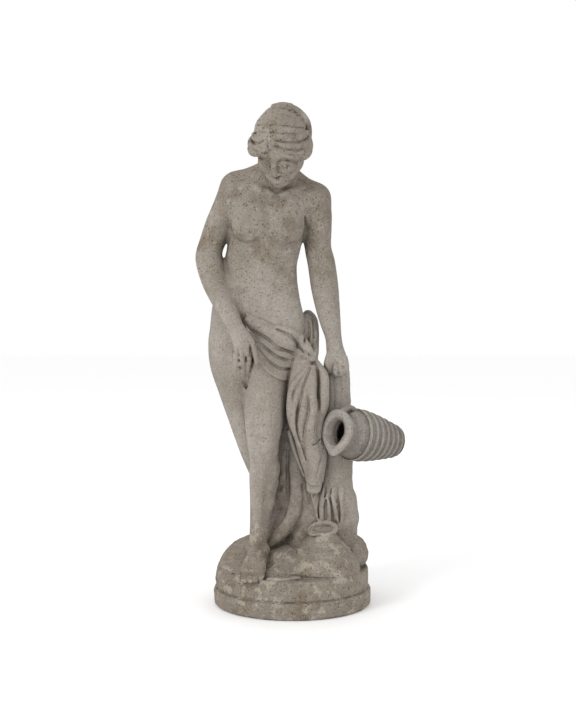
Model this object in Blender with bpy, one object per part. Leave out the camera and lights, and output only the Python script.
"""Cast stone garden figure: a bather beside a tree trunk that carries a hollow jug, on a round base.

Metres, +Z up, front towards -Y, origin under the middle of the base.
The figure, trunk, ground and base are one casting. The jug is a second one, bedded in the trunk.
"""
import math

import bmesh
import bpy
from mathutils import Matrix, Vector
from mathutils.bvhtree import BVHTree

# Base, turned
PLINTH_RADIUS = 0.158
PLINTH_HEIGHT = 0.034
PLINTH_EDGE = 0.006
SEAM = 0.003
GROUND_RADIUS = 0.153
GROUND_HEIGHT = 0.041
BASE_SIDES = 72

# Pot that stands in the ground below the spout
POT_X = 0.061
POT_Y = -0.050
POT_RADIUS = 0.074
POT_SHOULDER = 0.087
POT_BAND_RADIUS = 0.052
POT_BAND_HEIGHT = 0.120
POT_NECK = 0.024
POT_TOP = 0.155
POT_DEPTH = 0.012

# Figure, ground to top of hair
FIGURE_HEIGHT = 0.925
HEAD_YAW = math.radians(-20.0)
HEAD_BOW = math.radians(42.0)
HEAD_TILT = math.radians(5.0)

# Jug
JUG_LENGTH = 0.162
JUG_BODY_RADIUS = 0.051
JUG_FOOT_RADIUS = 0.031
JUG_NECK_RADIUS = 0.036
JUG_RIM_RADIUS = 0.044
JUG_WALL = 0.009
JUG_RING_HEIGHT = 0.0016
JUG_RINGS = 7
JUG_SIDES = 28
JUG_STATIONS = 22
BELLY_AT = 0.36 * JUG_LENGTH
NECK_AT = 0.13 * JUG_LENGTH
JUG_HEIGHT = 0.3465
JUG_TURN = math.radians(50.0)
JUG_DIP = math.radians(12.0)
JUG_BEDDING = 0.017
JUG_CLEARANCE = 0.0005
HANDLE_RADIUS = 0.0055
HANDLE_RISE = 0.017
HANDLE_STEPS = 10
LIP_DEPTH = 0.26 * JUG_LENGTH
LIP_RISE = 0.0016
LIP_DROP = 0.10
LIP_SQUEEZE = 0.30
THROAT_RADIUS = 0.0225
THROAT_START = 0.014  # how far in the funnel of the lip narrows to the throat
THROAT_END = 0.022  # how far in the throat opens into the body
THROAT_FLARE = 1.5
THROAT_SQUEEZE = 0.42

# Trunk, where the jug lies against it
TRUNK_X = 0.080
TRUNK_Y = 0.006
TRUNK_RADIUS = 0.041

# Skin of the casting
CLAY_GRAIN = 0.003
SMOOTHING_PASSES = 3
STATUE_TRIANGLES = 7300

STONE = (0.40, 0.375, 0.335, 1.0)
STONE_DARK = (0.34, 0.315, 0.28, 1.0)

POSE_HEIGHT = 925.0  # the pose below is in thousandths of a 1000 high work whose ground is at 75
POSE_GROUND = 75.0
HEAD_PLACE = (-23.0, -60.0, 917.0)  # in the pose, between the ears
FINGER = 6.0  # half a finger's width in the pose
WRAP_LIFT = 7.0  # how far the hip wrap stands off the body, in the pose
HIP_X = 26.0  # where the hip turns away towards the knot, in the pose
GROUND_Z = PLINTH_HEIGHT + GROUND_HEIGHT
UNDERCUT = 4 * CLAY_GRAIN
CUT_DEPTH = 0.1


def pose(x, y, z):
    """Place in metres of a point of the pose."""
    share = FIGURE_HEIGHT / POSE_HEIGHT
    return Vector((x * share, y * share, (z - POSE_GROUND) * share + GROUND_Z))


def grow(size):
    """A size of the pose in metres."""
    return size * FIGURE_HEIGHT / POSE_HEIGHT


def clear_scene():
    for old in list(bpy.data.objects):
        bpy.data.objects.remove(old)


def stone_material(name, colour):
    material = bpy.data.materials.new(name)
    material.use_nodes = True
    shader = material.node_tree.nodes["Principled BSDF"]
    shader.inputs["Base Color"].default_value = colour
    shader.inputs["Roughness"].default_value = 0.9
    shader.inputs["Metallic"].default_value = 0.0
    return material


def add_object(name, mesh, material=None):
    made = bpy.data.objects.new(name, mesh)
    bpy.context.scene.collection.objects.link(made)
    if material:
        mesh.materials.append(material)
    return made


def add_cutter(name, mesh):
    """An object that only shapes another."""
    made = add_object(name, mesh)
    made.hide_render = True
    made.display_type = "WIRE"
    return made


def boolean(target, tool, operation):
    modifier = target.modifiers.new(tool.name, "BOOLEAN")
    modifier.operation = operation
    modifier.solver = "EXACT"
    modifier.object = tool


def spline(values, steps):
    """Catmull-Rom through lists of numbers, steps to each span."""
    ends = [values[0]] + list(values) + [values[-1]]
    made = []
    for a, b, c, d in zip(ends, ends[1:], ends[2:], ends[3:]):
        for step in range(steps):
            t = step / steps
            made.append([
                0.5 * (2 * q + (r - p) * t + (2 * p - 5 * q + 4 * r - s) * t * t
                       + (3 * q - p - 3 * r + s) * t ** 3)
                for p, q, r, s in zip(a, b, c, d)
            ])
    made.append(list(values[-1]))
    return made


def loft(clay, sections, across=(1, 0, 0), steps=4, around=28, domed_ends=True):
    """A limb: ovals strung on a smooth line, with domed or flat ends.

    A section is x, y, z, half width, half depth and, where given, its turn in degrees.
    """
    full = [list(s) + [0.0] * (6 - len(s)) for s in sections]
    smooth = spline(full, steps)
    places = [pose(*s[:3]) for s in smooth]
    rings = []
    for index, (place, section) in enumerate(zip(places, smooth)):
        along = places[min(index + 1, len(places) - 1)] - places[max(index - 1, 0)]
        along.normalize()
        turned = Matrix.Rotation(math.radians(section[5]), 3, "Z") @ Vector(across)
        wide = (turned - along * turned.dot(along)).normalized()
        deep = along.cross(wide)
        rings.append((place, along, wide * grow(section[3]), deep * grow(section[4])))
    bulge = (0.45, 0.8)
    domed = []
    for end, way in ((rings[0], -1), (rings[-1], 1)):
        reach = end[1] * min(end[2].length, end[3].length) * way
        domed.append([
            (end[0] + reach * lift, end[1], end[2] * math.sqrt(1 - lift ** 2), end[3] * math.sqrt(1 - lift ** 2))
            for lift in bulge
        ] + [end[0] + reach])
    first, last = domed
    stack = [first[1], first[0]] + rings + [last[0], last[1]] if domed_ends else rings
    loops = []
    for place, _, wide, deep in stack:
        loops.append([
            clay.verts.new(place + wide * math.cos(a) + deep * math.sin(a))
            for a in (2 * math.pi * k / around for k in range(around))
        ])
    for low, high in zip(loops, loops[1:]):
        for k in range(around):
            n = (k + 1) % around
            clay.faces.new((low[k], low[n], high[n], high[k]))
    if not domed_ends:
        clay.faces.new(loops[-1])
        clay.faces.new(reversed(loops[0]))
        return
    for loop, tip, flip in ((loops[0], first[2], True), (loops[-1], last[2], False)):
        point = clay.verts.new(tip)
        for k in range(around):
            n = (k + 1) % around
            clay.faces.new((loop[n], loop[k], point) if flip else (loop[k], loop[n], point))


def lump(clay, x, y, z, wide, deep, high, turn=0.0, frame=None):
    """An egg of clay, turned about the vertical or set in a frame of its own."""
    basis = frame or Matrix.Rotation(math.radians(turn), 4, "Z")
    size = Matrix.Diagonal((grow(wide), grow(deep), grow(high), 1.0))
    place = Matrix.Translation(pose(x, y, z))
    bmesh.ops.create_uvsphere(clay, u_segments=20, v_segments=14, radius=1.0, matrix=place @ basis @ size)


def front_of(body, x, z, otherwise):
    """Depth in the pose at which a line of sight from the front meets the body at x, z."""
    hit = body.ray_cast(pose(x, -400, z), Vector((0, 1, 0)))[0]
    return hit.y * POSE_HEIGHT / FIGURE_HEIGHT if hit else otherwise


def torso(clay):
    loft(clay, (
        (-74, 24, 462, 80, 46, -14),
        (-72, 23, 500, 95, 58, -16),
        (-70, 20, 545, 99, 60, -16),
        (-71, 15, 585, 94, 54, -15),
        (-69, 8, 622, 85, 47, -14),
        (-66, 4, 656, 77, 42, -12),
        (-62, 3, 690, 72, 41, -9),
        (-55, 4, 725, 72, 45, -6),
        (-50, 6, 760, 75, 48, -4),
        (-45, 10, 795, 84, 47, -2),
        (-39, 14, 825, 80, 42),
        (-34, 12, 850, 58, 35),
        (-31, 4, 872, 36, 30),
    ), around=26)
    loft(clay, ((-112, 14, 836, 30, 30), (-75, 14, 848, 27, 30), (-33, 10, 850, 28, 32),
                (5, 14, 840, 27, 30), (45, 14, 816, 31, 31)), across=(0, 1, 0))
    loft(clay, ((-32, 10, 852, 32, 32), (-31, -6, 878, 30, 30), (-27, -26, 904, 30, 32)))
    for x, y, z in ((-83, -27, 755), (-15, -28, 749)):
        lump(clay, x, y, z, 34, 23, 32)
        lump(clay, x, y + 10, z + 26, 34, 22, 40)
    lump(clay, -78, -10, 620, 60, 36, 70)
    lump(clay, -110, 44, 520, 50, 42, 52)
    lump(clay, -40, 38, 516, 50, 42, 52)


def arms(clay):
    loft(clay, (
        (-112, 14, 834, 32, 32), (-130, 14, 796, 29, 29), (-147, 14, 761, 27, 27),
        (-160, 13, 728, 26, 25), (-166, 8, 697, 27, 26), (-159, -8, 660, 25.5, 24),
        (-144, -28, 624, 23, 21), (-126, -50, 590, 20, 18), (-110, -70, 560, 16, 14),
        (-101, -78, 543, 19, 13), (-94, -84, 530, 21, 12),
    ))
    loft(clay, (
        (45, 14, 812, 31, 31), (50, 15, 780, 28.5, 28), (50, 15, 750, 28, 27), (51, 16, 715, 27, 26),
        (58, 16, 683, 28.5, 26), (64, 10, 640, 28.5, 26), (69, 2, 605, 26, 24), (75, -6, 570, 22, 20),
        (81, -14, 540, 17.5, 16), (84, -19, 518, 17, 14), (87, -26, 500, 20, 13), (88, -33, 486, 22, 13),
        (88, -36, 477, 21, 11),
    ))
    # Curled fingers at the cloth, the pointing one beside them, and the hand that leans on the stump
    hands = (
        ((-107, -84, 534), (-109, -92, 520), (-106, -88, 511)), ((-98, -88, 531), (-99, -96, 517), (-97, -92, 508)),
        ((-88, -90, 532), (-89, -98, 518), (-88, -94, 510)), ((-79, -89, 534), (-75, -94, 518), (-70, -90, 494)),
        ((102, -34, 498), (105, -39, 486), (104, -38, 472)), ((94, -38, 496), (97, -44, 484), (96, -42, 470)),
        ((84, -40, 494), (86, -45, 482), (86, -43, 470)), ((74, -32, 506), (69, -38, 492), (67, -39, 474)),
    )
    for finger in hands:
        loft(clay, [(*joint, FINGER, FINGER) for joint in finger], steps=2, around=8)


def legs(clay):
    loft(clay, (
        (-38, 8, 520, 50, 50), (-44, -2, 480, 47, 48), (-50, -14, 440, 45, 46), (-54, -28, 400, 43, 43),
        (-57, -42, 362, 37, 38), (-58, -50, 330, 32, 34), (-56, -46, 295, 30, 31), (-56, -40, 262, 30, 32),
        (-59, -42, 225, 26, 28), (-63, -49, 190, 22, 23), (-67, -57, 158, 19, 20), (-69, -62, 130, 19, 21),
        (-69, -62, 106, 19, 22),
    ))
    loft(clay, ((-67, -54, 98, 19, 17), (-72, -84, 103, 21, 22), (-77, -106, 92, 25, 15),
                (-80, -122, 83, 27, 10), (-81, -132, 80, 26, 8)))
    toes = ((-104, -138, 79, 7.5), (-92, -143, 78, 6.2), (-81, -143, 78, 5.8), (-71, -140, 78, 5.5),
            (-62, -133, 79, 5.2))
    for x, y, z, size in toes:
        loft(clay, ((x * 0.96 - 3, y + 16, z + 3, size, size), (x, y, z + 1, size, size),
                    (x - 0.5, y - 6, z - 3, size * 0.9, size * 0.8)), steps=2, around=10)
    loft(clay, (
        (-116, 24, 520, 52, 52), (-121, 26, 485, 45, 50), (-114, 27, 441, 39, 45), (-101, 26, 391, 35, 39),
        (-90, 22, 345, 30, 34), (-77, 28, 300, 28, 31), (-61, 38, 258, 26, 30), (-52, 46, 215, 23, 26),
        (-46, 52, 170, 18, 20), (-44, 55, 135, 18, 20), (-43, 58, 110, 18, 22),
    ))
    loft(clay, ((-42, 66, 104, 17, 16), (-50, 38, 106, 19, 17), (-60, 10, 98, 22, 12), (-64, -6, 94, 20, 9)))


def head_frame():
    """Axes of the bowed head: its own +X is to the viewer's right, -Y is where it faces, +Z its crown."""
    return (Matrix.Rotation(HEAD_YAW, 4, "Z") @ Matrix.Rotation(HEAD_BOW, 4, "X")
            @ Matrix.Rotation(HEAD_TILT, 4, "Y"))


def on_head(x, y, z):
    """Pose coordinates of a point given in the head's own frame."""
    return tuple(Vector(HEAD_PLACE) + head_frame() @ Vector((x, y, z)))


def head(clay):
    frame = head_frame()

    def egg(x, y, z, wide, deep, high):
        lump(clay, *on_head(x, y, z), wide, deep, high, frame=frame)

    egg(0, 5, 5, 52, 58, 52)
    egg(0, 24, -14, 45, 39, 41)
    egg(0, -20, -24, 40, 38, 44)
    egg(0, -30, -52, 26, 22, 18)
    egg(0, -42, -60, 13, 10, 11)
    egg(0, -58, -28, 8, 10, 9)
    egg(0, -53, -14, 6, 8, 15)
    egg(0, -52, -45, 12, 8, 7)
    for side in (-1, 1):
        egg(side * 17, -48, -1, 17, 8, 6)
        egg(side * 23, -40, -26, 14, 12, 14)
    hair(clay, BVHTree.FromBMesh(clay))
    # Hair gathered up behind the crown, the chignon at the nape, and the flat knot on top of the plait
    lump(clay, -21, -16, 946, 46, 40, 36)
    egg(0, 64, -30, 28, 22, 26)
    lump(clay, -20, -27, 991, 17, 10, 8.5)


def hair(clay, skull):
    """Side locks laid on the head from the parting to the ears, and the plait from ear to ear behind them."""
    # A lock is its lift off the head, then x, z and size where it lies, or x, y, z and size where it leaves
    locks = (
        (4, (-44, 928, 4), (-12, 924, 7), (20, 930, 6), (28, -76, 938, 4)),
        (5, (-44, 918, 5), (-13, 909, 7), (22, 914, 7), (32, -72, 923, 6), (35, -56, 934, 5)),
        (7, (-42, 907, 5), (-13, 897, 8), (22, -92, 900, 8.5), (34, -78, 906, 8), (36, -46, 926, 7)),
        (8, (-26, 896, 4), (12, 889, 7), (26, -92, 891, 7.5), (36, -73, 899, 7.5), (37, -54, 908, 7)),
        (4, (-50, 928, 4), (-68, 924, 6), (-75, -80, 929, 5), (-76, -64, 937, 3)),
        (5, (-50, 916, 5), (-70, 908, 7), (-79, -78, 912, 7), (-79, -46, 930, 4)),
        (7, (-51, 905, 4), (-60, 899, 6), (-70, -94, 897, 7), (-78, -80, 900, 7), (-81, -62, 908, 7)),
    )
    for lift, *places in locks:
        rows = []
        for place in places:
            size = place[-1]
            if len(place) == 3:
                x, z, _ = place
                rows.append((x, front_of(skull, x, z, -70) + size - lift, z, size, size))
            else:
                rows.append((*place, size))
        loft(clay, rows, across=(0, 1, 0), steps=3, around=12)
    loft(clay, ((-73, -34, 941, 3.5, 3.5), (-68, -28, 958, 4.5, 4.5), (-56, -22, 973, 5.5, 5.5),
                (-41, -20, 985, 7, 7), (-20, -20, 989, 8.5, 8.5), (0, -20, 987, 8.5, 8.5), (15, -21, 977, 8.5, 8.5),
                (26, -24, 962, 8.5, 8.5), (30, -30, 944, 8, 8), (30, -38, 926, 7, 7)), steps=3, around=12)


def cloth(clay, body):
    """The cloth drawn round the hips, knotted at the side and hanging to below the knee."""
    wrap = (
        ((-28, 560, 5), (-4, 549, 9), (14, 535, 12), (30, 519, 12), (44, 505, 7)),
        ((-80, 570, 9), (-54, 556, 13), (-30, 540, 14), (-6, 526, 12), (10, 514, 9), (32, 502, 5)),
        ((-74, 545, 6), (-54, 530, 8), (-30, 512, 8), (-9, 502, 7), (32, 498, 4)),
        ((-67, 527, 8), (-51, 508, 10), (-30, 491, 11), (-12, 486, 10), (5, 488, 8), (36, 496, 4)),
        ((-64, 508, 8), (-50, 489, 11), (-32, 474, 11), (-14, 467, 11), (3, 470, 11), (28, 489, 6)),
    )
    for fold in wrap:
        rows = []
        for x, z, half in fold:
            deep = max(WRAP_LIFT, half * 0.7)
            past = max(0.0, x - HIP_X)
            rows.append((x, front_of(body, x - past, z, -46) + past * 0.5 + deep - WRAP_LIFT, z, deep, half))
        loft(clay, rows, across=(0, 1, 0), around=14)
    # The roll behind the far hip
    loft(clay, ((12, 30, 556, 9, 14), (22, 34, 574, 9, 14), (34, 32, 578, 9, 13), (43, 26, 568, 8, 12),
                (46, 16, 546, 8, 12), (45, 2, 524, 8, 12), (44, -24, 508, 8, 12), (42, -44, 500, 7, 10)), around=12)
    lump(clay, 26, 22, 545, 20, 26, 34)
    falls = (
        ((34, -50, 488, 3, 6), (14, -60, 464, 6, 8), (-2, -59, 430, 7, 9), (-5, -54, 388, 7, 9),
         (0, -52, 362, 6, 8)),
        ((35, -54, 483, 3, 7), (18, -64, 456, 7, 9), (7, -65, 412, 9, 10), (3, -60, 366, 8, 10),
         (20, -58, 316, 6, 8)),
        ((38, -56, 480, 4, 8), (28, -70, 442, 9, 10), (22, -71, 398, 9, 11), (18, -67, 355, 7, 10)),
        ((42, -56, 482, 4, 9), (40, -71, 440, 9, 12), (40, -73, 400, 11, 12), (36, -70, 355, 13, 12),
         (44, -65, 300, 15, 12), (44, -60, 262, 12, 9)),
        ((47, -46, 490, 6, 10), (60, -58, 458, 11, 13), (60, -61, 408, 11, 14), (51, -57, 362, 9, 12),
         (57, -56, 310, 9, 12), (58, -54, 290, 7, 10)),
    )
    for fall in falls:
        loft(clay, fall, around=12)
    loft(clay, ((40, -36, 500, 10, 10), (31, -42, 480, 24, 15), (28, -45, 452, 37, 18), (27, -46, 407, 40, 20),
                (28, -47, 362, 31, 19), (40, -50, 317, 25, 18), (46, -52, 275, 19, 14), (42, -50, 254, 14, 10)))
    loft(clay, ((14, -22, 500, 14, 16), (4, -28, 474, 15, 20), (-1, -32, 444, 14, 24), (-1, -34, 397, 14, 23),
                (8, -34, 352, 10, 18)))
    loft(clay, ((-6, -42, 352, 6, 6), (4, -42, 318, 7, 6), (24, -46, 264, 5, 6)), around=8)
    lump(clay, 39, -50, 498, 11, 14, 10)
    # The bunch that hangs from the hand, between the thighs
    loft(clay, ((-100, -56, 510, 13, 12), (-99, -40, 484, 15, 14), (-94, -26, 456, 13, 12), (-88, -16, 428, 9, 10)))
    # The cloth falls from the roll down the back of the trunk
    lump(clay, 58, 34, 430, 35, 29, 40)
    for x, y, size in ((-42, 57, 17), (-24, 64, 15), (-4, 70, 18), (14, 73, 15), (30, 69, 17), (45, 62, 18)):
        loft(clay, (
            (x * 0.6 + 6, y - 14, 522, size * 0.6, size * 0.6), (x * 0.8, y - 4, 450, size * 0.85, size * 0.85),
            (x, y, 360, size, size), (x * 1.15, y + 4, 260, size * 1.1, size * 1.1),
            (x * 1.2, y + 6, 160, size * 1.2, size * 1.2), (x * 1.2, y + 2, 96, size * 1.25, size * 1.25),
        ), around=14)


def trunk(clay):
    share = POSE_HEIGHT / FIGURE_HEIGHT
    x, y, radius = TRUNK_X * share, TRUNK_Y * share, TRUNK_RADIUS * share
    stem = (
        (6, 0, 470, 0.70, 0.82), (5, 0, 430, 0.78, 0.86), (2, 0, 370, 0.90, 0.95), (-1, 0, 300, 1.04, 1.06),
        (-3, 0, 235, 1.10, 1.16), (0, -2, 175, 1.25, 1.35), (-1, -4, 130, 1.30, 1.50), (0, -4, 70, 1.40, 1.60),
    )
    loft(clay, [(x + dx, y + dy, z, radius * wide, radius * deep) for dx, dy, z, wide, deep in stem],
         domed_ends=False)
    lump(clay, 112, 2, 172, 22, 28, 20)
    lump(clay, 121, -2, 200, 9, 20, 22)
    # Rock between the trunk and the legs, hollowed under its lower edge
    loft(clay, ((14, 24, 430, 34, 30), (8, 24, 350, 44, 36), (2, 22, 280, 50, 40), (-4, 20, 215, 54, 42),
                (-8, 18, 172, 52, 42)))
    loft(clay, ((30, 24, 240, 32, 40), (28, 22, 160, 40, 48), (20, 20, 80, 56, 56)), domed_ends=False)


def ground(clay):
    """Rough ground under the feet, and the pot that stands in it below the spout."""
    for x, y, z, wide, deep, high in (
        (-88, 34, 70, 64, 96, 48), (-44, 48, 84, 92, 86, 48), (40, 54, 84, 98, 84, 42), (-40, -46, 66, 84, 66, 34),
        (-108, -10, 62, 46, 96, 30), (106, 26, 96, 46, 80, 40), (0, -50, 66, 60, 62, 38), (122, -4, 96, 28, 50, 32),
    ):
        lump(clay, x, y, z, wide, deep, high)
    profile = (
        (POT_RADIUS, PLINTH_HEIGHT), (POT_RADIUS, GROUND_Z), (POT_RADIUS * 0.96, POT_SHOULDER),
        (POT_RADIUS * 0.86, POT_SHOULDER + 0.014), (POT_RADIUS * 0.74, POT_SHOULDER + 0.023),
        (POT_BAND_RADIUS, POT_BAND_HEIGHT - 0.002), (POT_BAND_RADIUS, POT_BAND_HEIGHT + 0.002),
        (POT_BAND_RADIUS * 0.86, POT_BAND_HEIGHT + 0.006), (POT_NECK * 1.5, POT_BAND_HEIGHT + 0.015),
        (POT_NECK * 1.12, POT_BAND_HEIGHT + 0.024), (POT_NECK, POT_TOP - 0.006), (POT_NECK, POT_TOP),
        (POT_NECK * 0.74, POT_TOP), (POT_NECK * 0.6, POT_TOP - POT_DEPTH),
    )
    turned(clay, profile, POT_X, POT_Y)
    # Broken lip of the pot
    loft(clay, ((33, -46, 153, 4, 5), (42, -34, 162, 4, 7), (58, -28, 166, 4, 8), (74, -34, 160, 4, 6),
                (82, -44, 152, 4, 4)), across=(0, 1, 0), steps=3, around=10)


def turned(clay, profile, x, y):
    """A closed solid turned about a vertical axis at x, y, in metres. Its profile runs from underside to top."""
    loops = [
        [clay.verts.new((x + r * math.cos(a), y + r * math.sin(a), z))
         for a in (2 * math.pi * k / BASE_SIDES for k in range(BASE_SIDES))]
        for r, z in profile
    ]
    for low, high in zip(loops, loops[1:]):
        for k in range(BASE_SIDES):
            n = (k + 1) % BASE_SIDES
            clay.faces.new((low[k], low[n], high[n], high[k]))
    clay.faces.new(loops[-1])
    clay.faces.new(reversed(loops[0]))


def turned_base(clay):
    """The plinth and the step above it. The underside is cut flat at zero once the clay is smooth."""
    profile = [(PLINTH_RADIUS, -UNDERCUT), (PLINTH_RADIUS, PLINTH_HEIGHT - PLINTH_EDGE)]
    corners = 4
    for step in range(1, corners + 1):
        angle = math.pi / 2 * step / corners
        profile.append((PLINTH_RADIUS - PLINTH_EDGE * (1 - math.cos(angle)),
                        PLINTH_HEIGHT - PLINTH_EDGE * (1 - math.sin(angle))))
    profile += [(GROUND_RADIUS - SEAM, PLINTH_HEIGHT), (GROUND_RADIUS - SEAM, PLINTH_HEIGHT + SEAM),
                (GROUND_RADIUS, PLINTH_HEIGHT + 2 * SEAM), (GROUND_RADIUS, GROUND_Z - PLINTH_EDGE),
                (GROUND_RADIUS - PLINTH_EDGE, GROUND_Z)]
    turned(clay, profile, 0.0, 0.0)


def statue_object():
    clay = bmesh.new()
    torso(clay)
    legs(clay)
    body = BVHTree.FromBMesh(clay)
    arms(clay)
    head(clay)
    cloth(clay, body)
    trunk(clay)
    ground(clay)
    turned_base(clay)
    mesh = bpy.data.meshes.new("statue")
    clay.to_mesh(mesh)
    clay.free()
    statue = add_object("statue", mesh, stone_material("cast_stone", STONE))
    remesh = statue.modifiers.new("knead", "REMESH")
    remesh.mode = "VOXEL"
    remesh.voxel_size = CLAY_GRAIN
    remesh.use_smooth_shade = True
    smooth = statue.modifiers.new("smooth", "SMOOTH")
    smooth.iterations = SMOOTHING_PASSES
    smooth.factor = 0.5
    weigh = bpy.context.evaluated_depsgraph_get()
    dense = statue.evaluated_get(weigh).to_mesh()
    dense.calc_loop_triangles()
    share = STATUE_TRIANGLES / len(dense.loop_triangles)
    coarse = statue.modifiers.new("facets", "DECIMATE")
    coarse.ratio = share
    cut = bmesh.new()
    wide = PLINTH_RADIUS * 3
    below = Matrix.Translation((0, 0, -CUT_DEPTH / 2)) @ Matrix.Diagonal((wide, wide, CUT_DEPTH, 1))
    bmesh.ops.create_cube(cut, size=1.0, matrix=below)
    floor = bpy.data.meshes.new("floor_cut")
    cut.to_mesh(floor)
    cut.free()
    boolean(statue, add_cutter("floor_cut", floor), "DIFFERENCE")
    return statue


def jug_axis():
    """Where the jug's mouth is and which way its axis runs, mouth to foot."""
    across = Vector((math.sin(JUG_TURN), math.cos(JUG_TURN), 0))
    outward = Vector((math.cos(JUG_TURN), -math.sin(JUG_TURN), 0))
    reach = TRUNK_RADIUS + JUG_BODY_RADIUS - JUG_BEDDING
    belly = Vector((TRUNK_X, TRUNK_Y, JUG_HEIGHT)) + outward * reach
    along = across * math.cos(JUG_DIP) - Vector((0, 0, 1)) * math.sin(JUG_DIP)
    return belly - along * BELLY_AT, along


def jug_radius(along):
    """Outer radius at a distance from the mouth, with its turned rings."""
    if along < NECK_AT:
        ease = 0.5 - 0.5 * math.cos(math.pi * along / NECK_AT)
        return JUG_RIM_RADIUS + (JUG_NECK_RADIUS - JUG_RIM_RADIUS) * ease
    if along < BELLY_AT:
        swell = (along - NECK_AT) / (BELLY_AT - NECK_AT)
        return JUG_NECK_RADIUS + (JUG_BODY_RADIUS - JUG_NECK_RADIUS) * math.sin(math.pi / 2 * swell) ** 0.8
    taper = (along - BELLY_AT) / (JUG_LENGTH - BELLY_AT)
    return JUG_BODY_RADIUS + (JUG_FOOT_RADIUS - JUG_BODY_RADIUS) * taper ** 1.35


def jug_hollow(along):
    """Inner radius at a distance from the mouth: the lip's funnel, the throat, then the wall of the body."""
    funnel = max(0.0, 1 - along / THROAT_START) ** 2
    mouth = JUG_RIM_RADIUS - JUG_WALL - THROAT_RADIUS
    opened = max(0.0, along - THROAT_END) * THROAT_FLARE
    return min(jug_radius(along) - JUG_WALL, THROAT_RADIUS + mouth * funnel + opened)


def jug_outline(grown=0.0):
    """Profile of the outside, from the mouth to the foot, as distance and radius."""
    line = []
    for k in range(JUG_STATIONS):
        along = JUG_LENGTH * k / (JUG_STATIONS - 1)
        body = max(0.0, (along - BELLY_AT * 0.7) / (JUG_LENGTH - BELLY_AT * 0.7))
        ring = JUG_RING_HEIGHT * math.sin(math.pi * body * JUG_RINGS) ** 2 if body > 0 else 0.0
        line.append((along, jug_radius(along) + ring + grown))
    return line


def turn_profile(line, name, pinch):
    """A closed solid from a profile that starts and ends on the axis."""
    mesh = bpy.data.meshes.new(name)
    work = bmesh.new()
    loops = []
    for along, radius in line:
        if radius == 0:
            loops.append([work.verts.new((0, 0, along))])
            continue
        loops.append([
            work.verts.new((radius * math.cos(a), radius * math.sin(a), along))
            for a in (2 * math.pi * k / JUG_SIDES for k in range(JUG_SIDES))
        ])
    for low, high in zip(loops, loops[1:]):
        for k in range(JUG_SIDES):
            n = (k + 1) % JUG_SIDES
            if len(low) == 1:
                work.faces.new((low[0], high[n], high[k]))
            elif len(high) == 1:
                work.faces.new((low[k], low[n], high[0]))
            else:
                work.faces.new((low[k], low[n], high[n], high[k]))
    if pinch:
        pinch_lip(work)
    bmesh.ops.recalc_face_normals(work, faces=work.faces)
    work.to_mesh(mesh)
    work.free()
    return mesh


def pinch_lip(work):
    """Draws the mouth's lower side out into a spout and narrows the throat.

    The spout's side is -X before the jug is placed.
    """
    throat = (THROAT_START + THROAT_END) / 2
    for vert in work.verts:
        near = max(0.0, 1 - vert.co.z / LIP_DEPTH) ** 2
        radius = math.hypot(vert.co.x, vert.co.y)
        if not radius:
            continue
        low = max(0.0, -vert.co.x / radius)
        inside = radius < jug_radius(vert.co.z) - JUG_WALL * 0.8
        vert.co.x *= 1 + LIP_DROP * near * low ** 3
        vert.co.y *= 1 - LIP_SQUEEZE * near * low
        if inside:
            vert.co.y *= 1 - THROAT_SQUEEZE * max(0.0, 1 - abs(vert.co.z - throat) / THROAT_END)


def jug_placing():
    """Turns a profile that runs along +Z, mouth at zero, onto the jug's axis, with +X upwards."""
    mouth, along = jug_axis()
    up = (Vector((0, 0, 1)) - along * along.z).normalized()
    side = along.cross(up)
    frame = Matrix((up, side, along)).transposed().to_4x4()
    return Matrix.Translation(mouth) @ frame


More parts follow.
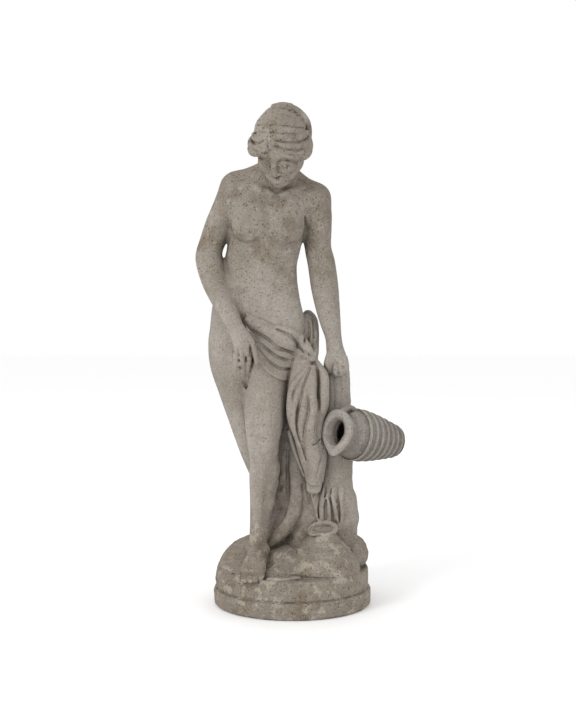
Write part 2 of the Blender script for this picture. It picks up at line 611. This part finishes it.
def jug_objects():
    """The jug, its handle, and the bed that it is cut into the trunk with."""
    outer = jug_outline()
    stations = [0.0, THROAT_START * 0.4, THROAT_START, THROAT_END, THROAT_END * 1.4]
    stations += [along for along, _ in outer[::2] if THROAT_END * 1.6 < along < JUG_LENGTH - JUG_WALL]
    inner = [(along, jug_hollow(along)) for along in stations]
    floor_radius = inner[-1][1]
    lining = [(JUG_LENGTH - JUG_WALL, 0), (JUG_LENGTH - JUG_WALL, floor_radius * 0.92)] + inner[::-1]
    lip = [(-LIP_RISE, JUG_RIM_RADIUS - JUG_WALL * 0.5)]
    shell = lining + lip + outer + [(JUG_LENGTH, 0)]
    jug = add_object("jug", turn_profile(shell, "jug", pinch=True), stone_material("jug_stone", STONE_DARK))
    jug.matrix_world = jug_placing()

    rim_top = Vector((JUG_RIM_RADIUS - JUG_WALL * 0.55, 0, JUG_WALL * 0.8))
    foot = Vector((JUG_BODY_RADIUS * 0.86, 0, BELLY_AT * 0.74))
    peak = (rim_top + foot) / 2
    peak.x = JUG_BODY_RADIUS * 0.86 + HANDLE_RISE
    curve = bpy.data.curves.new("handle", "CURVE")
    curve.dimensions = "3D"
    curve.bevel_depth = HANDLE_RADIUS
    curve.bevel_resolution = 2
    curve.use_fill_caps = True
    line = curve.splines.new("POLY")
    line.points.add(HANDLE_STEPS)
    for k, point in enumerate(line.points):
        t = k / HANDLE_STEPS
        place = rim_top * (1 - t) ** 2 + peak * 2 * t * (1 - t) + foot * t * t
        point.co = (*place, 1)
    handle = bpy.data.objects.new("handle", curve)
    bpy.context.scene.collection.objects.link(handle)
    bpy.context.view_layer.update()
    handle_mesh = bpy.data.meshes.new_from_object(handle)
    bpy.data.objects.remove(handle)
    grip = add_cutter("handle", handle_mesh)
    grip.matrix_world = jug_placing()
    boolean(jug, grip, "UNION")

    bed_line = jug_outline(grown=JUG_CLEARANCE)
    bed_line = [(-LIP_RISE - JUG_CLEARANCE, 0), (-LIP_RISE - JUG_CLEARANCE, bed_line[0][1])] + bed_line[:-1]
    bed_line += [(JUG_LENGTH + JUG_CLEARANCE, bed_line[-1][1] * 0.98), (JUG_LENGTH + JUG_CLEARANCE, 0)]
    bed = add_cutter("jug_bed", turn_profile(bed_line, "jug_bed", pinch=True))
    bed.matrix_world = jug_placing()
    return jug, bed


def build():
    clear_scene()
    statue = statue_object()
    jug, bed = jug_objects()
    boolean(statue, bed, "DIFFERENCE")


build()
